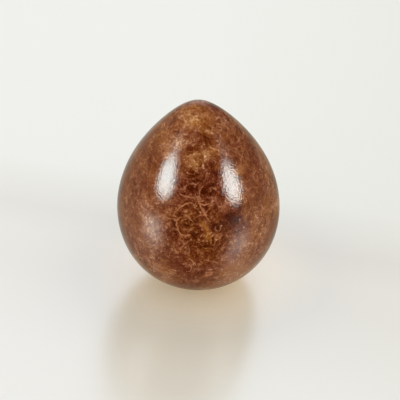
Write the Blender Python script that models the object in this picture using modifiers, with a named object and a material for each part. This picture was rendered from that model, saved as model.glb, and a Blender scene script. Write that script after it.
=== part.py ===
"""Natural drop pearl, one grown piece. Metres, +Z up, origin at the middle of the flat that it stands on."""

import math

import bpy

# Driving dimensions.
WIDTH = 0.0082  # across the widest ring
GROWN_LENGTH = 0.01015  # tip to the round base, as if the base had no flat
FLAT_RADIUS = 0.0013  # the small worn flat under the base, which the pearl stands on

# How the swell changes along the drop, as the weights of cos, cos^2 and cos^3 of the angle from the tip.
# All three at 0 give an ellipsoid. Below 0 the tip end is drawn in and the base end is filled out.
SWELL_TERMS = (-0.21, -0.124, -0.10)

RINGS = 44  # along the profile, tip to flat
SEGMENTS = 76  # around the axis
HALVINGS = 40  # of the interval that holds the angle of the flat's rim
AXIS_MERGE = 1e-6  # joins only the points on the axis

PEARL_BROWN = (0.230, 0.075, 0.032, 1.0)
PEARL_ROUGHNESS = 0.16
PEARL_IOR = 1.56
COAT_WEIGHT = 0.6
COAT_ROUGHNESS = 0.08


def clear_scene():
    for thing in list(bpy.data.objects):
        bpy.data.objects.remove(thing)


def swell(angle):
    """Distance from the axis at an angle from the tip, before it is scaled to the width."""
    cosine = math.cos(angle)
    terms = sum(weight * cosine ** (power + 1) for power, weight in enumerate(SWELL_TERMS))
    return math.sin(angle) * (1 + terms)


def widest_swell():
    samples = 2000
    return max(swell(math.pi * step / samples) for step in range(samples + 1))


def flat_angle(scale):
    """The angle from the tip at which the lower side has drawn in to the flat's radius."""
    low, high = 0.75 * math.pi, math.pi
    for _ in range(HALVINGS):
        middle = (low + high) / 2
        if scale * swell(middle) > FLAT_RADIUS:
            low = middle
        else:
            high = middle
    return (low + high) / 2


def drop_profile():
    """(radius, height) from the tip down the outer side to the flat's rim, then in to the axis."""
    scale = WIDTH / 2 / widest_swell()
    last = flat_angle(scale)
    half_length = GROWN_LENGTH / 2
    flat_level = half_length * math.cos(last)
    points = []
    for ring in range(RINGS + 1):
        angle = last * ring / RINGS
        points.append((scale * swell(angle), half_length * math.cos(angle) - flat_level))
    return [*points, (0.0, 0.0)]


def pearl_material():
    material = bpy.data.materials.new("brown_pearl")
    material.use_nodes = True
    surface = material.node_tree.nodes["Principled BSDF"]
    surface.inputs["Base Color"].default_value = PEARL_BROWN
    surface.inputs["Metallic"].default_value = 0.0
    surface.inputs["Roughness"].default_value = PEARL_ROUGHNESS
    surface.inputs["IOR"].default_value = PEARL_IOR
    surface.inputs["Coat Weight"].default_value = COAT_WEIGHT
    surface.inputs["Coat Roughness"].default_value = COAT_ROUGHNESS
    return material


def make_pearl(collection):
    """The whole pearl: its profile turned round the axis."""
    profile = drop_profile()
    mesh = bpy.data.meshes.new("pearl_profile")
    corners = [(radius, 0.0, height) for radius, height in profile]
    mesh.from_pydata(corners, [(i, i + 1) for i in range(len(corners) - 1)], [])
    mesh.materials.append(pearl_material())
    pearl = bpy.data.objects.new("pearl", mesh)
    collection.objects.link(pearl)
    turn = pearl.modifiers.new("turn", "SCREW")
    turn.axis = "Z"
    turn.angle = 2 * math.pi
    turn.steps = SEGMENTS
    turn.render_steps = SEGMENTS
    turn.use_merge_vertices = True
    turn.merge_threshold = AXIS_MERGE
    turn.use_smooth_shade = True
    return pearl


def main():
    clear_scene()
    collection = bpy.data.collections.new("natural_pearl")
    bpy.context.scene.collection.children.link(collection)
    make_pearl(collection)


main()
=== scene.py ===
import math

import bpy
import numpy as np
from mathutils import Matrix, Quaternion, Vector


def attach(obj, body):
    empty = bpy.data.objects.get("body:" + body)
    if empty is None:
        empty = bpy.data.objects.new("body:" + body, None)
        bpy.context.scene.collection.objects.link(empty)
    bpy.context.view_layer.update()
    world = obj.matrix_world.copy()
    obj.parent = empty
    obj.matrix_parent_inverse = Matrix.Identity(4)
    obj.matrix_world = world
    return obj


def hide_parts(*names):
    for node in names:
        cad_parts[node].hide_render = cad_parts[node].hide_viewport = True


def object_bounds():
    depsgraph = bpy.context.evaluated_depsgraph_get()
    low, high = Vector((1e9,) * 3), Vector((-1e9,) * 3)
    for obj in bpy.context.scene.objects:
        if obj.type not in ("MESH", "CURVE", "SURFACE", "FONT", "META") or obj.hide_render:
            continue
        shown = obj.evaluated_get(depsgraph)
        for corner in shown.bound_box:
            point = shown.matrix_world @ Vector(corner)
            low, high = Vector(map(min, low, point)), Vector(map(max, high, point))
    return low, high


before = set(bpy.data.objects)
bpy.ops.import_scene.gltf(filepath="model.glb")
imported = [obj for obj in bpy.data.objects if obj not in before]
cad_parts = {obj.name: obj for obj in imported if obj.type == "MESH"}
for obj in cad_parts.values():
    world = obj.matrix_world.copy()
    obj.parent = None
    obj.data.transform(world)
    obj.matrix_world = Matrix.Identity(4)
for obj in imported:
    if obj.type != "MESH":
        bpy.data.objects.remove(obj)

cadLow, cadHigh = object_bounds()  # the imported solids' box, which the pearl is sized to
mm = 0.001
noiseMean = 0.5  # the value that every noise lies about


def linearColour(hexText):
    # sRGB hex to the linear colour that the shaders take
    channels = [int(hexText[i:i + 2], 16) / 255 for i in (1, 3, 5)]
    linear = [c / 12.92 if c <= 0.04045 else ((c + 0.055) / 1.055) ** 2.4 for c in channels]
    return (*linear, 1.0)


def addNode(tree, kind, inputs=None, **settings):
    # one node with its settings and its inputs: each input is a plain value, a socket,
    # or a node whose first output it takes
    node = tree.nodes.new(kind)
    for name, value in settings.items():
        setattr(node, name, value)
    for socket, value in (inputs or {}).items():
        if isinstance(value, bpy.types.Node):
            value = value.outputs[0]
        if isinstance(value, bpy.types.NodeSocket):
            tree.links.new(value, node.inputs[socket])
        else:
            node.inputs[socket].default_value = value
    return node


def directionTo(turn, rise):
    # unit vector: turn in degrees from the viewer's side (-Y) towards +X, rise above the table
    a, e = math.radians(turn), math.radians(rise)
    return Vector((math.sin(a) * math.cos(e), -math.cos(a) * math.cos(e), math.sin(e)))


# a long lens, so the pearl shows with little perspective
cameraSettings = {
    "lens": 200.0,
    "sensorWidth": 36.0,
    "distance": 112 * mm,
    "rise": 30.0,  # degrees above the table
    "aim": (0.08, 0.0, 4.4),  # mm, a little under half way up the pearl
    "clipNear": 1 * mm,
}


def makeCamera(settings):
    camera = bpy.data.objects.new("viewCamera", bpy.data.cameras.new("viewCamera"))
    bpy.context.scene.collection.objects.link(camera)
    camera.data.lens = settings["lens"]
    camera.data.sensor_width = settings["sensorWidth"]
    camera.data.clip_start = settings["clipNear"]
    back = directionTo(0.0, settings["rise"])
    camera.location = Vector(settings["aim"]) * mm + back * settings["distance"]
    camera.rotation_mode = "QUATERNION"
    camera.rotation_quaternion = (-back).to_track_quat("-Z", "Y")
    bpy.context.scene.camera = camera
    bpy.context.scene.view_settings.view_transform = "Standard"


makeCamera(cameraSettings)
print("stage: camera")

# a pale room with an unlit side, soft oval lamps and a glossy white table
studioSettings = {
    "roomPale": "#f1f2ec",
    "lightStrength": 1.24,  # as it lights matt surfaces
    "darkTurn": 0.0,  # where the unlit side that the viewer stands on has its middle
    "darkRise": 38.0,
    "roomTones": (  # how the room shows in gloss, by degrees from that middle
        (40.0, "#2a2826"),
        (70.0, "#85765e"),
        (98.0, "#b8aa8c"),
        (118.0, "#ccc8aa"),
    ),
    "roomPatches": (  # turn and rise of its middle, where it begins and is full, in degrees, and its tone
        (175.0, 23.0, 40.0, 14.0, "#fbfdff"),  # the lit wall that the table mirrors
        (132.0, 6.0, 42.0, 16.0, "#6e7062"),  # an unlit stand behind on the right
        (-142.0, -2.0, 34.0, 10.0, "#a6a48b"),  # and the same on the left, paler
    ),
    "lampDistance": 160 * mm,
    "lampAim": (0.0, 0.0, 5 * mm),  # the place that the lamps stand round
    "lamps": (  # turn, rise, width, height and lean as seen from there, all in degrees, then radiance
        (-59.0, 27.2, 27.5, 24.4, 26.0, 18.0),
        (58.2, 22.8, 24.0, 26.0, 0.0, 16.5),
        (-67.0, 45.0, 26.0, 15.0, 0.0, 1.8),  # their faint upper ends
        (69.0, 43.0, 18.0, 14.0, 0.0, 1.1),
        (-59.0, 27.0, 38.0, 31.0, 22.0, 0.75),  # and the haze round them
        (61.5, 23.0, 32.0, 30.0, 0.0, 0.7),
    ),
    "lampColour": "#eefdfb",
    "lampOnMatt": 0.04,  # how much of a lamp reaches matt surfaces, for its faint shadow
    "tableSize": 1.2,
    "tableTonesAndPaintedBand": (  # painted reflection and painted light: a darker, warmer band behind the pearl where the room's darker side would mirror, lifted near the pearl's foot against its shade; mm behind the pearl, on the slant, and the tone there
        (-9.0, "#f4eee2"),
        (-1.5, "#eee7d8"),
        (1.5, "#efe7d7"),
        (4.2, "#e8e0cf"),
        (9.2, "#f3efe2"),
    ),
    "tableSlant": 0.33,  # how much of the way to the right counts as behind
    "tableInGloss": (  # how it shows in the pearl's gloss, by degrees from its own unlit middle
        (20.0, "#2e2823"),
        (42.0, "#857e71"),
        (62.0, "#c0b8a9"),
        (80.0, "#c8c0b0"),
        (115.0, "#a09882"),
        (150.0, "#b8b09a"),
    ),
    "tableDarkTurn": -6.0,
    "tableDarkRise": -20.0,
    "pearlMiddle": 4.4 * mm,  # the height above the table that those degrees are counted at
    # how its gloss leans: from and to where across it in mm, the degrees to the right at those two,
    # and the degrees to the viewer
    "tableLean": ((0.5, 2.5), (6.0, 10.0), 0.0),
    "tableBow": ((-12.0, 6.0), (10.0, 3.0), 2.0),  # the same in the light that it sends to the pearl
    "tableSent": ((-12.0, 6.0), (0.92, 0.6)),  # and how much it sends from those two places
    "tableMirror": 0.344,
    "mirrorTint": "#e4ecff",  # the room is cooler in it than the cream of the table itself
    "mirrorToPearl": 0.29,
    "tableRoughness": 0.285,
    "glowColour": "#ffeabc",  # painted glow: the table gives off warm light round the pearl's foot, which lifts the shade there
    "glowStrength": 0.37,
    "glowReach": 6.9 * mm,
    "glowMiddle": (0.3 * mm, 0.3 * mm, 0.0),
}


def coloursAlong(tree, value, low, high, colours):
    # colours by the place of a value between a low and a high one
    share = addNode(tree, "ShaderNodeMapRange", {"Value": value, "From Min": low, "From Max": high})
    ramp = addNode(tree, "ShaderNodeValToRGB", {0: share})
    stops = ramp.color_ramp.elements
    while len(stops) < len(colours):
        stops.new(0.5)
    for stop, (place, colour) in zip(stops, colours):
        stop.position = (place - low) / (high - low)
        stop.color = linearColour(colour)
    return ramp


def tonesByAngle(tree, cosine, tones):
    angle = addNode(tree, "ShaderNodeMath", {0: cosine}, operation="ARCCOSINE")
    angle = addNode(tree, "ShaderNodeMath", {0: angle}, operation="DEGREES")
    return coloursAlong(tree, angle, 0.0, 180.0, tones)


def makeRoom(settings):
    world = bpy.data.worlds.new("room")
    bpy.context.scene.world = world
    world.use_nodes = True
    tree = world.node_tree
    tree.nodes.clear()
    towards = addNode(tree, "ShaderNodeTexCoord").outputs["Generated"]
    middle = directionTo(settings["darkTurn"], settings["darkRise"])
    near = addNode(tree, "ShaderNodeVectorMath", {0: towards, 1: middle}, operation="DOT_PRODUCT")
    tones = tonesByAngle(tree, near.outputs["Value"], settings["roomTones"])
    for turn, rise, begins, full, tone in settings["roomPatches"]:
        near = addNode(tree, "ShaderNodeVectorMath", {
            0: towards, 1: directionTo(turn, rise)}, operation="DOT_PRODUCT")
        on = addNode(tree, "ShaderNodeMapRange", {
            "Value": near.outputs["Value"], "From Min": math.cos(math.radians(begins)),
            "From Max": math.cos(math.radians(full))}, interpolation_type="SMOOTHSTEP")
        tones = addNode(tree, "ShaderNodeMix", {
            0: on, 6: tones, 7: linearColour(tone)}, data_type="RGBA").outputs[2]
    mirrored = addNode(tree, "ShaderNodeBackground", {"Color": tones})
    lighting = addNode(tree, "ShaderNodeBackground", {
        "Color": linearColour(settings["roomPale"]), "Strength": settings["lightStrength"]})
    path = addNode(tree, "ShaderNodeLightPath")
    room = addNode(tree, "ShaderNodeMixShader", {
        0: path.outputs["Is Diffuse Ray"], 1: mirrored, 2: lighting})
    addNode(tree, "ShaderNodeOutputWorld", {"Surface": room})


def makeLamps(settings):
    # each lamp is two: one that gloss mirrors, and a faint one that lights matt surfaces
    away = settings["lampDistance"]
    for turn, rise, wide, tall, lean, radiance in settings["lamps"]:
        for share, onMatt in ((1.0, False), (settings["lampOnMatt"], True)):
            lamp = bpy.data.lights.new("roundLamp", "AREA")
            lamp.shape = "ELLIPSE"
            lamp.size = 2 * away * math.tan(math.radians(wide / 2))
            lamp.size_y = 2 * away * math.tan(math.radians(tall / 2))
            lamp.color = linearColour(settings["lampColour"])[:3]
            area = math.pi * lamp.size * lamp.size_y / 4
            lamp.energy = share * radiance * math.pi * area
            holder = bpy.data.objects.new("roundLamp", lamp)
            bpy.context.scene.collection.objects.link(holder)
            back = directionTo(turn, rise)
            leaning = Quaternion((0, 0, 1), -math.radians(lean))
            holder.location = back * away + Vector(settings["lampAim"])
            holder.rotation_mode = "QUATERNION"
            holder.rotation_quaternion = back.to_track_quat("Z", "Y") @ leaning
            holder.visible_camera = False
            holder.visible_diffuse = onMatt
            holder.visible_glossy = not onMatt


def tableTone(tree, here, parts, inGloss, settings):
    # its colour from front to back, with a painted reflection: a darker, warmer band behind the pearl; and
    # for the pearl's gloss painted shade: the tones of an unevenly lit table
    tones = [(place * mm, tone) for place, tone in settings["tableTonesAndPaintedBand"]]
    behind = addNode(tree, "ShaderNodeMath", {
        0: parts.outputs["X"], 1: settings["tableSlant"], 2: parts.outputs["Y"]}, operation="MULTIPLY_ADD")
    # painted reflection: the darker, warmer band across the table, lifted near the pearl's foot
    paintedBand = coloursAlong(tree, behind, tones[0][0], tones[-1][0], tones)
    fromPearl = addNode(tree, "ShaderNodeVectorMath", {
        0: here, 1: (0.0, 0.0, settings["pearlMiddle"])}, operation="SUBTRACT")
    seen = addNode(tree, "ShaderNodeVectorMath", {0: fromPearl}, operation="NORMALIZE")
    middle = directionTo(settings["tableDarkTurn"], settings["tableDarkRise"])
    near = addNode(tree, "ShaderNodeVectorMath", {0: seen, 1: middle}, operation="DOT_PRODUCT")
    shown = tonesByAngle(tree, near.outputs["Value"], settings["tableInGloss"])
    return addNode(tree, "ShaderNodeMix", {0: inGloss, 6: paintedBand, 7: shown}, data_type="RGBA").outputs[2]


def tableGloss(tree, parts, inGloss, settings):
    # a soft mirror that leans, because the table isn't quite level or flat
    across = parts.outputs["X"]
    normals = []
    for (left, right), (leftLean, rightLean), nearer in (settings["tableLean"], settings["tableBow"]):
        sideways = addNode(tree, "ShaderNodeMapRange", {
            "Value": across, "From Min": left * mm, "From Max": right * mm,
            "To Min": math.sin(math.radians(leftLean)), "To Max": math.sin(math.radians(rightLean))})
        normals.append(addNode(tree, "ShaderNodeCombineXYZ", {
            0: sideways, 1: -math.sin(math.radians(nearer)), 2: 1.0}))
    leant, bowed = normals
    normal = addNode(tree, "ShaderNodeMix", {
        0: inGloss, 4: leant, 5: bowed}, data_type="VECTOR").outputs[1]
    normal = addNode(tree, "ShaderNodeVectorMath", {0: normal}, operation="NORMALIZE")
    (left, right), (leftShare, rightShare) = settings["tableSent"]
    sent = addNode(tree, "ShaderNodeMapRange", {
        "Value": across, "From Min": left * mm, "From Max": right * mm,
        "To Min": leftShare, "To Max": rightShare})
    mirrored = addNode(tree, "ShaderNodeMix", {
        0: inGloss, 6: linearColour(settings["mirrorTint"]), 7: sent}, data_type="RGBA").outputs[2]
    return addNode(tree, "ShaderNodeBsdfGlossy", {
        "Color": mirrored, "Roughness": settings["tableRoughness"], "Normal": normal})


def paintedTableGlow(tree, here, settings):
    # painted light: the table glows warm, strongest at the pearl's foot and gone at the reach
    away = addNode(tree, "ShaderNodeVectorMath", {0: here, 1: settings["glowMiddle"]}, operation="DISTANCE")
    strength = addNode(tree, "ShaderNodeMapRange", {
        "Value": away.outputs["Value"], "From Min": settings["glowReach"], "From Max": 0.0,
        "To Max": settings["glowStrength"]}, interpolation_type="SMOOTHSTEP")
    return addNode(tree, "ShaderNodeEmission", {
        "Color": linearColour(settings["glowColour"]), "Strength": strength})


def tableMaterial(settings):
    # cream-white acrylic, cast glossy: a matt body under a soft mirror, with a painted glow round the
    # pearl's foot
    material = bpy.data.materials.new("creamAcrylic")
    material.use_nodes = True
    tree = material.node_tree
    tree.nodes.clear()
    here = addNode(tree, "ShaderNodeTexCoord").outputs["Object"]
    parts = addNode(tree, "ShaderNodeSeparateXYZ", {0: here})
    inGloss = addNode(tree, "ShaderNodeLightPath").outputs["Is Glossy Ray"]  # seen in the pearl's gloss
    matt = addNode(tree, "ShaderNodeBsdfDiffuse", {"Color": tableTone(tree, here, parts, inGloss, settings)})
    share = addNode(tree, "ShaderNodeMix", {
        0: inGloss, 2: settings["tableMirror"], 3: settings["mirrorToPearl"]})
    both = addNode(tree, "ShaderNodeMixShader", {
        0: share, 1: matt, 2: tableGloss(tree, parts, inGloss, settings)})
    lit = addNode(tree, "ShaderNodeAddShader", {0: both, 1: paintedTableGlow(tree, here, settings)})
    addNode(tree, "ShaderNodeOutputMaterial", {"Surface": lit})
    return material


def makeTable(settings):
    half = settings["tableSize"] / 2
    corners = [(-half, -half, 0), (half, -half, 0), (half, half, 0), (-half, half, 0)]
    mesh = bpy.data.meshes.new("table")
    mesh.from_pydata(corners, [], [(0, 1, 2, 3)])
    mesh.materials.append(tableMaterial(settings))
    table = bpy.data.objects.new("table", mesh)
    bpy.context.scene.collection.objects.link(table)


makeRoom(studioSettings)
makeLamps(studioSettings)
makeTable(studioSettings)
print("stage: room, lamps and table")

# A brown pearl, grown in thin layers of horn-brown matter laid down round it, and smooth as it came
# from its shell. The layers differ in thickness and colour: they show as clouds, webs and curled
# threads under a clear gloss.
pearlSettings = {
    "grownLength": 10.15 * mm,  # tip to the round base, as if the base had no flat
    "swell": (-0.21, -0.124, -0.10),  # weights of cos, cos^2 and cos^3 of the angle from the tip
    "profileSteps": 2001,  # how finely its outline is searched for the widest place
    "rimSoftness": 0.012 * mm,
    "grid": 127,  # points along a cube edge
    "waveHeight": 0.03 * mm,
    "waveSize": 2.6 * mm,
    "waveSeed": 4,
    "middle": 4.4,  # mm above the table, the place inside that outwards is counted from
    "roughness": 0.1,
    "ior": 1.5,
    "peel": (0.085, 1.0, 0.6),  # fine unevenness of the gloss: size in mm, detail and roughness
    "peelDepth": 0.009 * mm,
    # shades from dark to pale, in the red-brown and in the ochre parts
    "redShades": ("#3f1000", "#581f06", "#6d3218", "#854b31", "#a26b4f", "#cda084"),
    "ochreShades": ("#451a00", "#5f2b03", "#7b400d", "#955826", "#ad7441", "#d0a078"),
    "meanShade": 0.365,
    "meanOchre": 0.15,
    "contrast": 0.5,
    # sizes, widths and radii below are in mm, depths are shares of the whole range of shades
    "drifts": ((1.1, 0.5), (0.33, 0.16)),  # how wide and how far the pattern is pulled about
    "fray": (0.14, 0.09),  # the same for the edges of its patches
    "cloud": (1.7, 0.26, 2.0, 0.5),  # size, depth, detail and roughness of its noise
    "hues": ((1.3, 1.6, 3.0, 0.6), (0.26, 1.1, 3.0, 0.6)),  # the same for how ochre it is
    "liveliness": (1.6, 0.5, 1.0, 0.5),  # for calmer and livelier parts
    "mottle": (0.5, 1.2, 3.0, 0.7),
    "grain": (0.11, 1.65, 2.0, 1.0),
    "webs": (  # cell size, edge width, how much paler, and how much of it is left out
        (0.6, 0.1, 0.16, 0.36),
        (0.34, 0.06, 0.22, 0.42),
        (0.2, 0.04, 0.2, 0.45),
    ),
    "webGaps": (0.77, 2.0, 0.7, 0.16),  # what leaves it out: changes per cell, detail, roughness, softness
    "pits": (0.42, 0.3, 0.1, 0.45),  # cell size, how much darker, from and to which distance
    "felt": (  # matted fibres: size, line width as a share of the noise, how much paler, seed
        (0.4, 0.05, 0.14, 5.0),
        (0.22, 0.06, 0.16, 9.0),
    ),
    # a noise's size and detail, two of its values, and how many times narrower curls and threads are there
    "unevenWidth": (0.3, 2.0, 0.35, 0.65, 0.75, 1.9),
    "curls": (  # cell size, bend radius, line width, strength, share of the cells that have one
        (0.95, 0.50, 0.05, 0.6, 0.4),
        (0.62, 0.26, 0.045, 0.6, 0.4),
    ),
    "curlCrook": (0.25, 0.22),  # how wide and how far the curls are bent out of round
    "curlEnds": (0.42, 0.25),  # from where in its cell a curl begins and is full, in cell sizes
    "curlCore": 0.2,  # share of the width of a curl or wisp that is full
    "wisps": (  # size, line width as a share of the noise, strength, seed
        (1.2, 0.012, 0.5, 3.0),
        (0.8, 0.016, 0.5, 7.0),
        (0.5, 0.022, 0.5, 11.0),
    ),
    # what breaks the wisps: a noise's size and detail, and its values where they end and are whole
    "wispGaps": (0.45, 2.0, 0.46, 0.6),
    "wispDepth": 0.42,  # how much paler a curl or wisp is than what is under it
    "threadColour": "#c27e56",
    "threadShare": 0.85,
    "threadSway": 0.6,  # how much of the curls' crookedness the threads have
    "threadCore": 0.3,
    "threadTaper": 0.3,  # how far a thread fades out past its ends, as a share of its arc's height
    # how threads come and go: a noise's size, detail and roughness, two of its values, the least strength
    "threadWear": (0.2, 2.0, 0.8, 0.38, 0.58, 0.3),
    "dotShare": 0.7,
    "dotEdge": (1.4, 0.3),  # from how many radii away a dot begins and is full
    "speckColour": "#b98a70",
    "specks": (0.5, 0.045, 0.4, 0.5),  # cell size, radius, its full share, share of the cells with one
    "patchEdge": (1.5, 0.3),  # the same for a patch
    # places on the pearl: turn in degrees, height and radius in mm,
    # shade (below 0 is darker), ochre (above 0 is yellower) and contrast (below 0 is calmer)
    "patches": (
        # the cap round the tip, ochre on the viewer's side
        (-13, 9.45, 0.30, 0.18, 0.7, 0.1),
        (-10, 9.75, 0.85, 0.09, 0.5, 0.0),
        (-93, 9.60, 0.55, 0.04, 0.0, -0.1),
        (-45, 9.40, 0.45, 0.12, 0.2, 0.0),
        (-75, 8.95, 0.5, 0.12, 0.1, 0.0),
        (43, 9.50, 0.5, 0.02, 0.2, 0.0),
        (-69, 9.15, 0.3, -0.04, 0.0, 0.0),
        (10, 9.15, 0.4, 0.1, 0.3, 0.0),
        (-18, 8.8, 0.4, 0.1, 0.1, 0.0),
        # the ochre band
        (-10, 8.15, 0.4, 0.22, 0.35, 0.0),
        (1, 8.10, 0.35, 0.18, 0.4, 0.0),
        (10, 8.23, 0.25, 0.06, 0.4, 0.0),
        (18, 8.42, 0.28, 0.1, 0.4, 0.0),
        (0, 7.75, 0.4, 0.04, 0.3, 0.0),
        # maroon streaks over and under it
        (-14, 8.45, 0.24, -0.26, 0.0, 0.0),
        (-3, 8.5, 0.24, -0.26, 0.0, 0.0),
        (3, 8.90, 0.3, -0.26, 0.0, 0.0),
        (13, 8.80, 0.36, -0.3, 0.0, 0.0),
        (26, 8.65, 0.24, -0.18, 0.0, 0.0),
        (6, 7.88, 0.22, -0.2, 0.0, 0.0),
        (16, 7.56, 0.24, -0.06, 0.0, 0.0),
        # the darkest knot, on the viewer's side
        (-4, 7.45, 0.32, -0.2, 0.0, 0.0),
        (-11, 6.97, 0.42, -0.06, -0.3, 0.0),
        (8, 7.11, 0.34, -0.1, -0.1, 0.0),
        (16, 7.2, 0.4, -0.08, -0.2, 0.0),
        (5, 6.62, 0.24, -0.2, 0.0, 0.0),
        # broad lights and darks, partly painted shade and sheen: darker on the viewer's side and lower down,
        # paler on the flanks
        (0, 7.1, 1.1, -0.05, -0.1, 0.35),
        (0, 8.4, 0.9, 0.0, 0.0, 0.2),
        (-8, 8.9, 1.2, 0.09, 0.0, 0.0),
        (-36, 8.35, 0.6, 0.2, 0.1, 0.0),
        (-43, 8.25, 0.35, 0.1, 0.1, 0.0),
        (34, 8.7, 0.7, 0.0, 0.0, 0.0),
        (3, 7.3, 0.8, -0.06, 0.0, 0.0),
        (8, 4.5, 1.5, -0.1, 0.0, 0.0),
        (12, 4.0, 0.6, -0.08, 0.0, 0.0),
        (-52, 5.0, 1.7, 0.05, 0.0, -0.1),
        (52, 4.6, 1.6, 0.05, 0.08, 0.05),
        (85, 5.2, 1.4, 0.04, 0.08, 0.0),
        # the orange web below the knot
        (0, 4.8, 1.6, -0.02, 0.15, 0.35),
        (-12, 5.45, 0.45, -0.18, 0.0, 0.0),
        (9, 5.60, 0.35, -0.14, 0.0, 0.0),
        (0, 6.00, 0.3, -0.1, 0.0, 0.0),
        (13, 6.75, 0.5, -0.13, 0.0, 0.0),
        (14, 4.95, 0.35, -0.14, 0.0, 0.0),
        (-4, 4.00, 0.35, -0.16, 0.0, 0.0),
        (-8, 4.40, 0.3, -0.1, 0.0, 0.0),
        (27, 5.00, 0.5, -0.08, 0.0, 0.0),
        (-21, 6.45, 0.4, 0.14, 0.0, 0.0),
        (21, 6.10, 0.35, 0.16, 0.0, 0.0),
        (41, 6.40, 0.5, 0.14, 0.0, 0.0),
        (-40, 5.60, 0.8, 0.16, 0.1, 0.0),
        (-40, 4.00, 0.9, 0.12, 0.1, 0.0),
        (24, 4.40, 0.3, 0.1, 0.0, 0.0),
        (76, 5.00, 0.8, 0.08, 0.0, 0.0),
        (-25, 1.70, 0.6, 0.12, 0.1, 0.0),
        (-22, 5.5, 0.5, 0.1, 0.1, 0.1),
        (-14, 4.1, 0.5, 0.12, 0.0, 0.1),
        # an ochre streak in the web
        (3, 5.35, 0.15, 0.2, 0.7, -0.5),
        (4, 5.10, 0.2, 0.22, 0.8, -0.6),
        (5, 4.85, 0.2, 0.22, 0.8, -0.6),
        (6, 4.60, 0.2, 0.2, 0.7, -0.5),
        # darks round the streak
        (28, 5.65, 0.5, -0.26, -0.1, 0.0),
        (20, 5.3, 0.38, -0.15, 0.0, 0.0),
        (11, 5.05, 0.3, -0.15, 0.0, 0.0),
        (-18, 4.75, 0.36, -0.18, -0.1, 0.0),
        (5, 4.3, 0.42, -0.12, 0.0, 0.0),
        (-2, 4.71, 0.3, -0.12, 0.0, 0.0),
        (-1, 5.15, 0.2, -0.12, 0.0, 0.0),
        (-12, 3.2, 0.6, -0.03, -0.1, 0.0),
        (1, 2.5, 0.9, -0.02, -0.1, 0.0),
        (26, 4.6, 0.7, -0.08, 0.0, 0.0),
        # smooth tan patches near the base
        (28, 2.25, 1.1, 0.36, 0.1, -0.5),
        (-28, 2.3, 0.6, 0.24, 0.2, -0.2),
        (-37, 3.0, 0.5, 0.1, 0.2, -0.1),
        # smaller lights and darks all over
        (59, 5.3, 0.55, 0.03, 0.4, -0.2),
        (44, 7.40, 0.3, 0.22, 0.2, -0.3),
        (58, 4.60, 0.8, 0.02, 0.0, 0.0),
        (81, 7.95, 0.5, -0.12, 0.0, 0.0),
        (66, 7.2, 0.4, -0.08, 0.0, 0.0),
        (-62, 7.0, 0.35, 0.06, 0.2, 0.0),
        (-65, 8.55, 0.5, 0.03, 0.35, -0.1),
        (55, 8.8, 0.5, 0.06, 0.3, -0.1),
        (30, 6.2, 0.5, 0.17, 0.35, 0.0),
        (43, 4.0, 0.9, 0.13, 0.1, 0.0),
        (73, 6.6, 0.7, 0.04, 0.35, 0.0),
        (38, 7.5, 0.4, 0.1, 0.3, 0.0),
        (22, 3.9, 0.4, 0.08, 0.2, 0.0),
        (-52, 5.9, 0.4, -0.1, 0.0, 0.0),
        (-31, 5.8, 0.4, -0.1, 0.0, 0.0),
        (-9, 5.5, 0.4, -0.1, 0.0, 0.0),
        (3, 6.1, 0.4, -0.09, 0.0, 0.0),
        (12, 2.0, 0.5, -0.12, 0.0, 0.0),
        (-38, 2.8, 0.5, 0.09, 0.0, 0.0),
        (30, 5.1, 0.4, -0.11, 0.0, 0.0),
        (6, 4.6, 0.4, 0.05, 0.1, 0.0),
        (-31, 5.2, 0.4, 0.1, 0.0, 0.0),
        (-8, 6.9, 0.6, -0.09, 0.0, 0.0),
        (-65, 8.5, 0.7, 0.07, 0.1, 0.0),
        (98, 9.55, 0.35, -0.15, 0.0, 0.0),
        (51, 4.9, 0.4, -0.05, 0.0, 0.0),
        (22, 4.4, 0.35, 0.1, 0.1, 0.0),
        (17, 6.9, 0.3, -0.08, 0.0, 0.0),
        (-50, 5.3, 0.4, 0.02, 0.0, 0.0),
        (-8, 3.5, 0.5, 0.08, 0.1, 0.0),
        (37, 1.4, 0.4, 0.08, 0.0, 0.0),
        (-45, 7.1, 0.3, 0.1, 0.1, 0.0),
        (36, 7.4, 0.3, 0.08, 0.2, 0.0),
        # painted sheen: pale places near the outline that stand in for a lighter, milky edge
        (76, 4.7, 0.5, 0.16, 0.15, 0.0),
        (92, 7.3, 0.5, 0.16, 0.1, 0.0),
        (90, 6.3, 0.4, 0.08, 0.0, 0.0),
        (-54, 1.9, 0.5, 0.14, 0.15, 0.0),
        (-64, 2.6, 0.4, 0.06, 0.1, 0.0),
    ),
    # long threads, each an arc through three places (turn, height), then its width and strength
    "threads": (
        ((-17, 5.75), (-14, 6.05), (-9, 6.25), 0.08, 1.0),
        ((-14, 6.70), (-9, 6.55), (-3, 6.55), 0.07, 0.7),
        ((-1, 6.60), (1, 6.55), (1, 6.40), 0.08, 1.0),
        ((1, 6.65), (1, 6.85), (4, 7.00), 0.06, 0.6),
        ((4, 6.25), (7, 6.25), (13, 6.45), 0.07, 1.0),
        ((1, 6.30), (3, 6.05), (8, 5.50), 0.08, 0.9),
        ((-9, 6.25), (-5, 6.30), (-3, 6.10), 0.07, 0.6),
        ((-10, 5.70), (-7, 5.60), (-4, 5.40), 0.07, 0.8),
        ((-15, 5.25), (-14, 4.95), (-6, 4.75), 0.07, 0.8),
        ((10, 6.85), (13, 6.95), (16, 6.80), 0.06, 0.6),
        ((12, 4.65), (14, 4.55), (16, 4.60), 0.07, 0.7),
        ((12, 5.05), (14, 4.85), (16, 5.00), 0.06, 0.5),
        ((19, 6.10), (22, 6.15), (27, 6.15), 0.08, 0.8),
        ((18, 6.20), (19, 5.95), (21, 5.70), 0.07, 0.6),
        ((-25, 5.55), (-21, 5.40), (-16, 5.40), 0.08, 0.6),
        ((-20, 4.85), (-17, 5.00), (-14, 4.95), 0.07, 0.5),
        ((-6, 3.35), (-4, 3.20), (-2, 3.00), 0.07, 0.9),
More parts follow.
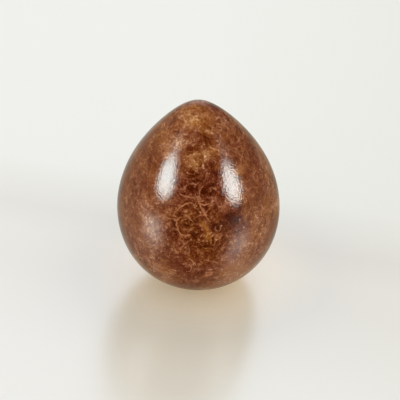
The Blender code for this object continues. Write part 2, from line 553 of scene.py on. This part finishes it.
        ((-8, 3.05), (-5, 2.85), (-9, 2.50), 0.07, 0.9),
        ((7, 3.30), (10, 3.25), (14, 3.05), 0.07, 0.9),
        ((-4, 1.80), (-1, 1.70), (0, 1.80), 0.07, 0.5),
        ((1, 2.00), (5, 2.15), (7, 2.35), 0.06, 0.5),
        ((11, 3.95), (11, 4.25), (12, 4.45), 0.06, 0.5),
        ((-16, 3.85), (-15, 3.75), (-13, 3.65), 0.07, 0.8),
        ((-33, 2.35), (-30, 2.25), (-27, 2.20), 0.09, 1.0),
        ((-37, 3.10), (-36, 2.95), (-35, 2.70), 0.07, 0.6),
        ((-12, 3.75), (-11, 4.10), (-8, 4.30), 0.07, 0.6),
        ((-6, 3.70), (-6, 4.00), (-7, 4.20), 0.07, 0.5),
        ((7, 2.20), (8, 2.50), (10, 2.40), 0.07, 0.7),
        ((-59, 7.80), (-50, 7.75), (-43, 7.70), 0.06, 0.5),
        ((58, 8.00), (55, 7.85), (48, 7.75), 0.06, 0.5),
        ((-67, 8.75), (-54, 8.80), (-43, 8.80), 0.06, 0.5),
        ((36, 5.35), (40, 5.40), (42, 5.65), 0.06, 0.5),
    ),
    # pale dots: turn, height and radius
    "dots": (
        (1, 5.20, 0.07),
        (-2, 4.90, 0.07),
        (2, 4.95, 0.06),
        (-12, 4.65, 0.07),
        (-9, 4.65, 0.06),
        (-18, 5.60, 0.07),
        (-16, 5.35, 0.06),
        (-23, 5.00, 0.07),
        (-5, 6.25, 0.06),
        (1, 3.05, 0.08),
        (3, 3.50, 0.07),
        (-2, 2.10, 0.07),
        (-9, 1.70, 0.06),
        (-27, 3.95, 0.07),
        (-30, 3.70, 0.07),
        (5, 4.45, 0.06),
        (0, 4.50, 0.06),
        (-28, 6.15, 0.07),
        (21, 4.05, 0.06),
    ),
}


def swellAt(settings, cosine):
    a, b, c = settings["swell"]
    return 1 + a * cosine + b * cosine ** 2 + c * cosine ** 3


def radiusScale(settings, width):
    # the ball's radius before it swells, such that the drop comes out as wide as the solid
    angles = np.linspace(0, math.pi, settings["profileSteps"])
    return width / 2 / np.max(np.sin(angles) * swellAt(settings, np.cos(angles)))


def griddedBall(tree, given):
    # a gridded cube is blown up to a ball; the tangent evens out how its grid crowds at the corners
    cube = addNode(tree, "GeometryNodeMeshCube", {
        "Size": (2.0, 2.0, 2.0), "Vertices X": given["Grid"], "Vertices Y": given["Grid"],
        "Vertices Z": given["Grid"]})
    mesh = addNode(tree, "GeometryNodeStoreNamedAttribute", {
        "Geometry": cube.outputs["Mesh"], "Name": "OFBake", "Value": cube.outputs["UV Map"]},
        data_type="FLOAT2", domain="CORNER")
    place = addNode(tree, "GeometryNodeInputPosition")
    eighth = addNode(tree, "ShaderNodeVectorMath", {0: place, "Scale": math.pi / 4}, operation="SCALE")
    even = addNode(tree, "ShaderNodeVectorMath", {0: eighth}, operation="TANGENT")
    return mesh, addNode(tree, "ShaderNodeVectorMath", {0: even}, operation="NORMALIZE")


def drawnOut(tree, given, mesh, ball, swell):
    # the ball is drawn out to the drop, and then moved until its tip is as high as the solid's
    parts = addNode(tree, "ShaderNodeSeparateXYZ", {0: ball})
    cosine = parts.outputs["Z"]
    swollen = 0.0
    for weight in reversed(swell):  # Horner's rule, from the cube down
        total = addNode(tree, "ShaderNodeMath", {0: swollen, 1: weight}, operation="ADD")
        swollen = addNode(tree, "ShaderNodeMath", {0: total, 1: cosine}, operation="MULTIPLY")
    whole = addNode(tree, "ShaderNodeMath", {0: swollen, 1: 1.0}, operation="ADD")
    across = addNode(tree, "ShaderNodeMath", {0: whole, 1: given["Radius"]}, operation="MULTIPLY")
    x = addNode(tree, "ShaderNodeMath", {0: parts.outputs["X"], 1: across}, operation="MULTIPLY")
    y = addNode(tree, "ShaderNodeMath", {0: parts.outputs["Y"], 1: across}, operation="MULTIPLY")
    z = addNode(tree, "ShaderNodeMath", {0: cosine, 1: given["Half Length"]}, operation="MULTIPLY")
    level = addNode(tree, "ShaderNodeMath", {0: z, 1: given["Flat Level"]}, operation="SUBTRACT")
    drawn = addNode(tree, "ShaderNodeCombineXYZ", {0: x, 1: y, 2: level})
    return addNode(tree, "GeometryNodeSetPosition", {"Geometry": mesh, "Position": drawn})


def waved(tree, given, mesh):
    # slow swells that a grown thing has, far lower than they are wide
    place = addNode(tree, "GeometryNodeInputPosition")
    perWave = addNode(tree, "ShaderNodeMath", {0: 1.0, 1: given["Wave Size"]}, operation="DIVIDE")
    waves = addNode(tree, "ShaderNodeTexNoise", {
        "Vector": place, "W": given["Seed"], "Scale": perWave, "Detail": 1.0}, noise_dimensions="4D")
    centred = addNode(tree, "ShaderNodeMath", {0: waves, 1: noiseMean}, operation="SUBTRACT")
    height = addNode(tree, "ShaderNodeMath", {0: centred, 1: given["Wave Height"]}, operation="MULTIPLY")
    outward = addNode(tree, "GeometryNodeInputNormal")
    push = addNode(tree, "ShaderNodeVectorMath", {0: outward, "Scale": height}, operation="SCALE")
    return addNode(tree, "GeometryNodeSetPosition", {"Geometry": mesh, "Offset": push})


def pressedFlat(tree, given, mesh):
    # the worn flat: all that would lie under the table is pressed up to it, with a soft rim
    place = addNode(tree, "GeometryNodeInputPosition")
    parts = addNode(tree, "ShaderNodeSeparateXYZ", {0: place})
    pressed = addNode(tree, "ShaderNodeMath", {
        0: parts.outputs["Z"], 1: 0.0, 2: given["Rim Softness"]}, operation="SMOOTH_MAX")
    floored = addNode(tree, "ShaderNodeCombineXYZ", {
        0: parts.outputs["X"], 1: parts.outputs["Y"], 2: pressed})
    return addNode(tree, "GeometryNodeSetPosition", {"Geometry": mesh, "Position": floored})


def dropTree(settings, material):
    tree = bpy.data.node_groups.new("drawnDrop", "GeometryNodeTree")
    kinds = {"Grid": "Int", "Radius": "Float", "Half Length": "Float", "Flat Level": "Float",
             "Rim Softness": "Float", "Wave Height": "Float", "Wave Size": "Float", "Seed": "Int"}
    for name, kind in kinds.items():
        tree.interface.new_socket(name, in_out="INPUT", socket_type="NodeSocket" + kind)
    tree.interface.new_socket("Geometry", in_out="OUTPUT", socket_type="NodeSocketGeometry")
    given = addNode(tree, "NodeGroupInput").outputs
    mesh, ball = griddedBall(tree, given)
    mesh = drawnOut(tree, given, mesh, ball, settings["swell"])
    mesh = pressedFlat(tree, given, waved(tree, given, mesh))
    smooth = addNode(tree, "GeometryNodeSetShadeSmooth", {"Geometry": mesh, "Shade Smooth": True})
    real = addNode(tree, "GeometryNodeRealizeInstances", {"Geometry": smooth})
    coated = addNode(tree, "GeometryNodeSetMaterial", {"Geometry": real, "Material": material})
    addNode(tree, "NodeGroupOutput", {0: coated})
    return tree


def setInputs(modifier, values):
    # a modifier's inputs go by each socket's identifier
    for item in modifier.node_group.interface.items_tree:
        if item.item_type == "SOCKET" and item.in_out == "INPUT" and item.name in values:
            modifier[item.identifier] = values[item.name]


def makePearl(settings, material):
    width, height = cadHigh.x - cadLow.x, cadHigh.z - cadLow.z
    halfLength = settings["grownLength"] / 2
    start = bpy.data.objects.new("pearlStart", bpy.data.meshes.new("pearlStart"))
    bpy.context.scene.collection.objects.link(start)
    growing = start.modifiers.new("growing", "NODES")
    growing.node_group = dropTree(settings, material)
    setInputs(growing, {
        "Grid": settings["grid"], "Radius": float(radiusScale(settings, width)),
        "Half Length": halfLength, "Flat Level": halfLength - height,
        "Rim Softness": settings["rimSoftness"], "Wave Height": settings["waveHeight"],
        "Wave Size": settings["waveSize"], "Seed": settings["waveSeed"]})
    ready = start.evaluated_get(bpy.context.evaluated_depsgraph_get())
    mesh = bpy.data.meshes.new_from_object(ready)
    mesh.name = "grownPearl"
    pearl = bpy.data.objects.new("grownPearl", mesh)
    bpy.context.scene.collection.objects.link(pearl)
    bpy.data.objects.remove(start)
    return pearl


def placeOn(settings, turn, height):
    # the point, in mm, on the drop's outside at a turn and a height
    halfLength = settings["grownLength"] / 2
    level = height * mm - (cadHigh.z - cadLow.z) + halfLength
    cosine = max(-1.0, min(1.0, level / halfLength))
    scale = radiusScale(settings, cadHigh.x - cadLow.x)
    radius = scale * math.sqrt(1 - cosine ** 2) * swellAt(settings, cosine) / mm
    a = math.radians(turn)
    return Vector((radius * math.sin(a), -radius * math.cos(a), height))


def arcThrough(first, middle, last, eye):
    # the circle through three places, laid in the plane that touches the pearl at the middle one:
    # its centre, the way from there to the middle one, and the cosine of half the arc
    outward = (middle - eye).normalized()
    a, b = (spot - middle - (spot - middle).dot(outward) * outward for spot in (first, last))
    across = a.cross(b)
    toCentre = (a.length_squared * b - b.length_squared * a).cross(across) / (2 * across.length_squared)
    cosines = [(end - toCentre).dot(-toCentre) / toCentre.length_squared for end in (a, b)]
    return middle + toCentre, -toCentre, min(cosines)


def pulledAbout(tree, place, inMm, size, reach):
    # a place moved by a soft noise, so that no pattern read there is straight or round
    drift = addNode(tree, "ShaderNodeTexNoise", {"Vector": inMm, "Scale": 1 / size, "Detail": 1.0})
    centred = addNode(tree, "ShaderNodeVectorMath", {
        0: drift.outputs["Color"], 1: (noiseMean, noiseMean, noiseMean)}, operation="SUBTRACT")
    return addNode(tree, "ShaderNodeVectorMath", {
        0: centred, 1: (reach, reach, reach), 2: place}, operation="MULTIPLY_ADD")


def swing(tree, base, place, size, depth, detail, roughness):
    # a value that a noise carries to both sides of its base
    noise = addNode(tree, "ShaderNodeTexNoise", {
        "Vector": place, "Scale": 1 / size, "Detail": detail, "Roughness": roughness})
    centred = addNode(tree, "ShaderNodeMath", {0: noise, 1: noiseMean}, operation="SUBTRACT")
    return addNode(tree, "ShaderNodeMath", {0: centred, 1: depth, 2: base}, operation="MULTIPLY_ADD")


def wanderingLine(tree, place, size, seed, width, core, strength):
    # a thin line wherever a noise passes its mean
    noise = addNode(tree, "ShaderNodeTexNoise", {
        "Vector": place, "W": seed, "Scale": 1 / size, "Detail": 1.0}, noise_dimensions="4D")
    off = addNode(tree, "ShaderNodeMath", {0: noise, 1: noiseMean}, operation="SUBTRACT")
    off = addNode(tree, "ShaderNodeMath", {0: off}, operation="ABSOLUTE")
    return addNode(tree, "ShaderNodeMapRange", {
        "Value": off, "From Min": width, "From Max": width * core, "To Max": strength},
        interpolation_type="SMOOTHSTEP")


def ringLine(tree, fromMiddle, radius, uneven, width, core, strength):
    # a line of uneven width, bent round a middle
    away = addNode(tree, "ShaderNodeVectorMath", {0: fromMiddle}, operation="LENGTH").outputs["Value"]
    off = addNode(tree, "ShaderNodeMath", {0: away, 1: radius}, operation="SUBTRACT")
    off = addNode(tree, "ShaderNodeMath", {0: off}, operation="ABSOLUTE")
    off = addNode(tree, "ShaderNodeMath", {0: off, 1: uneven}, operation="MULTIPLY")
    return addNode(tree, "ShaderNodeMapRange", {
        "Value": off, "From Min": width, "From Max": width * core, "To Max": strength},
        interpolation_type="SMOOTHSTEP")


def softSpot(tree, place, middle, radius, edge, strength):
    begins, full = edge
    far = addNode(tree, "ShaderNodeVectorMath", {
        0: place, 1: middle}, operation="DISTANCE").outputs["Value"]
    return addNode(tree, "ShaderNodeMapRange", {
        "Value": far, "From Min": radius * begins, "From Max": radius * full, "To Max": strength},
        interpolation_type="SMOOTHSTEP")


def withWebs(tree, settings, stray, clear, frayed):
    # pale lines between cells, broken where a noise is low
    pace, detail, roughness, softness = settings["webGaps"]
    for size, width, lift, whole in settings["webs"]:
        cells = addNode(tree, "ShaderNodeTexVoronoi", {
            "Vector": frayed, "Scale": 1 / size}, feature="DISTANCE_TO_EDGE")
        edge = addNode(tree, "ShaderNodeMapRange", {
            "Value": cells, "From Min": width / size, "From Max": 0.0}, interpolation_type="SMOOTHSTEP")
        noise = addNode(tree, "ShaderNodeTexNoise", {
            "Vector": clear, "Scale": pace / size, "Detail": detail, "Roughness": roughness})
        there = addNode(tree, "ShaderNodeMapRange", {
            "Value": noise, "From Min": whole, "From Max": whole + softness},
            interpolation_type="SMOOTHSTEP")
        broken = addNode(tree, "ShaderNodeMath", {0: edge, 1: there}, operation="MULTIPLY")
        stray = addNode(tree, "ShaderNodeMath", {0: broken, 1: lift, 2: stray}, operation="MULTIPLY_ADD")
    return stray


def strayOfShade(tree, settings, inMm, clear, frayed):
    # how far each place strays from its part's own shade
    stray = swing(tree, 0.0, clear, *settings["mottle"])
    stray = swing(tree, stray, inMm, *settings["grain"])
    stray = withWebs(tree, settings, stray, clear, frayed)
    size, depth, low, high = settings["pits"]
    cells = addNode(tree, "ShaderNodeTexVoronoi", {
        "Vector": frayed, "Scale": 1 / size}, feature="SMOOTH_F1")
    pit = addNode(tree, "ShaderNodeMapRange", {
        "Value": cells, "From Min": high, "From Max": low}, interpolation_type="SMOOTHSTEP")
    stray = addNode(tree, "ShaderNodeMath", {0: pit, 1: -depth, 2: stray}, operation="MULTIPLY_ADD")
    for size, width, lift, seed in settings["felt"]:
        line = wanderingLine(tree, frayed, size, seed, width, 0.0, 1.0)
        stray = addNode(tree, "ShaderNodeMath", {0: line, 1: lift, 2: stray}, operation="MULTIPLY_ADD")
    return stray


def groundPattern(tree, settings, inMm, clear, frayed):
    # how pale and how ochre each place is, before the curls and threads
    shade = swing(tree, settings["meanShade"], clear, *settings["cloud"])
    contrast = swing(tree, settings["contrast"], clear, *settings["liveliness"])
    ochre = settings["meanOchre"]
    for hue in settings["hues"]:
        ochre = swing(tree, ochre, clear, *hue)
    for turn, height, radius, paler, yellower, livelier in settings["patches"]:
        middle = placeOn(settings, turn, height)
        on = softSpot(tree, frayed, middle, radius, settings["patchEdge"], 1.0)
        if paler:
            shade = addNode(tree, "ShaderNodeMath", {
                0: on, 1: paler, 2: shade}, operation="MULTIPLY_ADD")
        if yellower:
            ochre = addNode(tree, "ShaderNodeMath", {
                0: on, 1: yellower, 2: ochre}, operation="MULTIPLY_ADD")
        if livelier:
            contrast = addNode(tree, "ShaderNodeMath", {
                0: on, 1: livelier, 2: contrast}, operation="MULTIPLY_ADD")
    stray = strayOfShade(tree, settings, inMm, clear, frayed)
    shade = addNode(tree, "ShaderNodeMath", {0: stray, 1: contrast, 2: shade}, operation="MULTIPLY_ADD")
    return shade, ochre


def curledThreads(tree, settings, outward, crooked, uneven):
    # a part of a ring in some cells, measured along the surface
    strands = 0.0
    begins, full = settings["curlEnds"]
    for size, radius, width, strength, share in settings["curls"]:
        cells = addNode(tree, "ShaderNodeTexVoronoi", {"Vector": crooked, "Scale": 1 / size})
        fromCell = addNode(tree, "ShaderNodeVectorMath", {
            0: crooked, 1: cells.outputs["Position"]}, operation="SUBTRACT")
        chance = addNode(tree, "ShaderNodeVectorMath", {
            0: cells.outputs["Color"], 1: (noiseMean, noiseMean, noiseMean)}, operation="SUBTRACT")
        way = addNode(tree, "ShaderNodeVectorMath", {0: chance}, operation="NORMALIZE")
        aside = addNode(tree, "ShaderNodeVectorMath", {
            0: way, 1: (-radius, -radius, -radius), 2: fromCell}, operation="MULTIPLY_ADD")
        proud = addNode(tree, "ShaderNodeVectorMath", {0: aside, 1: outward}, operation="DOT_PRODUCT")
        sunk = addNode(tree, "ShaderNodeVectorMath", {
            0: outward, "Scale": proud.outputs["Value"]}, operation="SCALE")
        flat = addNode(tree, "ShaderNodeVectorMath", {0: aside, 1: sunk}, operation="SUBTRACT")
        line = ringLine(tree, flat, radius, uneven, width, settings["curlCore"], 1.0)
        away = addNode(tree, "ShaderNodeVectorMath", {0: fromCell}, operation="LENGTH")
        within = addNode(tree, "ShaderNodeMapRange", {
            "Value": away.outputs["Value"], "From Min": size * begins, "From Max": size * full,
            "To Max": strength}, interpolation_type="SMOOTHSTEP")
        drawn = addNode(tree, "ShaderNodeMath", {
            0: cells.outputs["Color"], 1: share}, operation="LESS_THAN")
        curl = addNode(tree, "ShaderNodeMath", {0: line, 1: within}, operation="MULTIPLY")
        curl = addNode(tree, "ShaderNodeMath", {0: curl, 1: drawn}, operation="MULTIPLY")
        strands = addNode(tree, "ShaderNodeMath", {0: strands, 1: curl}, operation="MAXIMUM")
    return strands


def withWisps(tree, settings, strands, clear, crooked):
    # long faint lines that come and go
    gapSize, gapDetail, low, high = settings["wispGaps"]
    for size, width, strength, seed in settings["wisps"]:
        line = wanderingLine(tree, crooked, size, seed, width, settings["curlCore"], strength)
        noise = addNode(tree, "ShaderNodeTexNoise", {
            "Vector": clear, "W": seed, "Scale": 1 / gapSize, "Detail": gapDetail}, noise_dimensions="4D")
        there = addNode(tree, "ShaderNodeMapRange", {
            "Value": noise, "From Min": low, "From Max": high}, interpolation_type="SMOOTHSTEP")
        wisp = addNode(tree, "ShaderNodeMath", {0: line, 1: there}, operation="MULTIPLY")
        strands = addNode(tree, "ShaderNodeMath", {0: strands, 1: wisp}, operation="MAXIMUM")
    return strands


def longThreads(tree, settings, eye, inMm, swayed, uneven):
    # the longer threads, each where it grew; they come and go along their length
    strands = 0.0
    for first, middle, last, width, strength in settings["threads"]:
        places = [placeOn(settings, *place) for place in (first, middle, last)]
        centre, toMiddle, cosine = arcThrough(*places, eye)
        fromCentre = addNode(tree, "ShaderNodeVectorMath", {0: swayed, 1: centre}, operation="SUBTRACT")
        line = ringLine(
            tree, fromCentre, toMiddle.length, uneven, width, settings["threadCore"], strength)
        along = addNode(tree, "ShaderNodeVectorMath", {
            0: fromCentre, 1: toMiddle / toMiddle.length_squared}, operation="DOT_PRODUCT")
        taper = settings["threadTaper"] * (1 - cosine)
        within = addNode(tree, "ShaderNodeMapRange", {
            "Value": along.outputs["Value"], "From Min": cosine - taper, "From Max": cosine},
            interpolation_type="SMOOTHSTEP")
        thread = addNode(tree, "ShaderNodeMath", {0: line, 1: within}, operation="MULTIPLY")
        strands = addNode(tree, "ShaderNodeMath", {0: strands, 1: thread}, operation="MAXIMUM")
    size, detail, roughness, low, high, least = settings["threadWear"]
    noise = addNode(tree, "ShaderNodeTexNoise", {
        "Vector": inMm, "Scale": 1 / size, "Detail": detail, "Roughness": roughness})
    worn = addNode(tree, "ShaderNodeMapRange", {
        "Value": noise, "From Min": low, "From Max": high, "To Min": least})
    return addNode(tree, "ShaderNodeMath", {0: strands, 1: worn}, operation="MULTIPLY")


def paleThreads(tree, settings, eye, inMm, swayed, uneven):
    # where the longer threads and the dots among them are, and how strong
    strands = longThreads(tree, settings, eye, inMm, swayed, uneven)
    for turn, height, radius in settings["dots"]:
        middle = placeOn(settings, turn, height)
        dot = softSpot(tree, swayed, middle, radius, settings["dotEdge"], settings["dotShare"])
        strands = addNode(tree, "ShaderNodeMath", {0: strands, 1: dot}, operation="MAXIMUM")
    return addNode(tree, "ShaderNodeMath", {0: strands, 1: settings["threadShare"]}, operation="MULTIPLY")


def fineSpecks(tree, settings, inMm):
    size, radius, core, share = settings["specks"]
    cells = addNode(tree, "ShaderNodeTexVoronoi", {"Vector": inMm, "Scale": 1 / size})
    dot = addNode(tree, "ShaderNodeMapRange", {
        "Value": cells, "From Min": radius / size, "From Max": core * radius / size})
    drawn = addNode(tree, "ShaderNodeMath", {0: cells.outputs["Color"], 1: share}, operation="LESS_THAN")
    return addNode(tree, "ShaderNodeMath", {0: dot, 1: drawn}, operation="MULTIPLY")


def patternColour(tree, settings, inMm):
    eye = Vector((0.0, 0.0, settings["middle"]))
    fromEye = addNode(tree, "ShaderNodeVectorMath", {0: inMm, 1: eye}, operation="SUBTRACT")
    outward = addNode(tree, "ShaderNodeVectorMath", {0: fromEye}, operation="NORMALIZE")
    clear = inMm
    for size, reach in settings["drifts"]:
        clear = pulledAbout(tree, clear, inMm, size, reach)
    frayed = pulledAbout(tree, clear, inMm, *settings["fray"])
    crooked = pulledAbout(tree, clear, inMm, *settings["curlCrook"])
    swayed = addNode(tree, "ShaderNodeMix", {
        0: settings["threadSway"], 4: inMm, 5: crooked}, data_type="VECTOR").outputs[1]
    size, detail, low, high, wide, narrow = settings["unevenWidth"]
    noise = addNode(tree, "ShaderNodeTexNoise", {"Vector": inMm, "Scale": 1 / size, "Detail": detail})
    uneven = addNode(tree, "ShaderNodeMapRange", {
        "Value": noise, "From Min": low, "From Max": high, "To Min": wide, "To Max": narrow})

    shade, ochre = groundPattern(tree, settings, inMm, clear, frayed)
    strands = curledThreads(tree, settings, outward, crooked, uneven)
    strands = withWisps(tree, settings, strands, clear, crooked)
    shade = addNode(tree, "ShaderNodeMath", {
        0: strands, 1: settings["wispDepth"], 2: shade}, operation="MULTIPLY_ADD")
    red, yellow = (
        coloursAlong(tree, shade, 0.0, 1.0, [(i / (len(tones) - 1), tone) for i, tone in enumerate(tones)])
        for tones in (settings["redShades"], settings["ochreShades"]))
    colour = addNode(tree, "ShaderNodeMix", {
        0: ochre, 6: red, 7: yellow}, data_type="RGBA").outputs[2]
    threads = paleThreads(tree, settings, eye, inMm, swayed, uneven)
    specks = fineSpecks(tree, settings, inMm)
    for share, tone in ((threads, settings["threadColour"]), (specks, settings["speckColour"])):
        colour = addNode(tree, "ShaderNodeMix", {
            0: share, 6: colour, 7: linearColour(tone)}, data_type="RGBA").outputs[2]
    return colour


def pearlMaterial(settings):
    # pearl: an opaque body with the pattern in it, under a smooth clear surface
    material = bpy.data.materials.new("brownPearl")
    material.use_nodes = True
    tree = material.node_tree
    tree.nodes.clear()
    coordinates = addNode(tree, "ShaderNodeTexCoord")
    inMm = addNode(tree, "ShaderNodeVectorMath", {
        0: coordinates.outputs["Object"], "Scale": 1 / mm}, operation="SCALE")
    size, detail, roughness = settings["peel"]
    peel = addNode(tree, "ShaderNodeTexNoise", {
        "Vector": inMm, "Scale": 1 / size, "Detail": detail, "Roughness": roughness})
    bump = addNode(tree, "ShaderNodeBump", {
        "Height": peel, "Distance": settings["peelDepth"], "Strength": 1.0})
    surface = addNode(tree, "ShaderNodeBsdfPrincipled", {
        "Base Color": patternColour(tree, settings, inMm), "Roughness": settings["roughness"],
        "IOR": settings["ior"], "Normal": bump})
    addNode(tree, "ShaderNodeOutputMaterial", {"Surface": surface})
    return material


pearl = makePearl(pearlSettings, pearlMaterial(pearlSettings))
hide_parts("pearl")
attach(pearl, "root")
print("stage: pearl,", len(pearl.data.polygons), "faces")
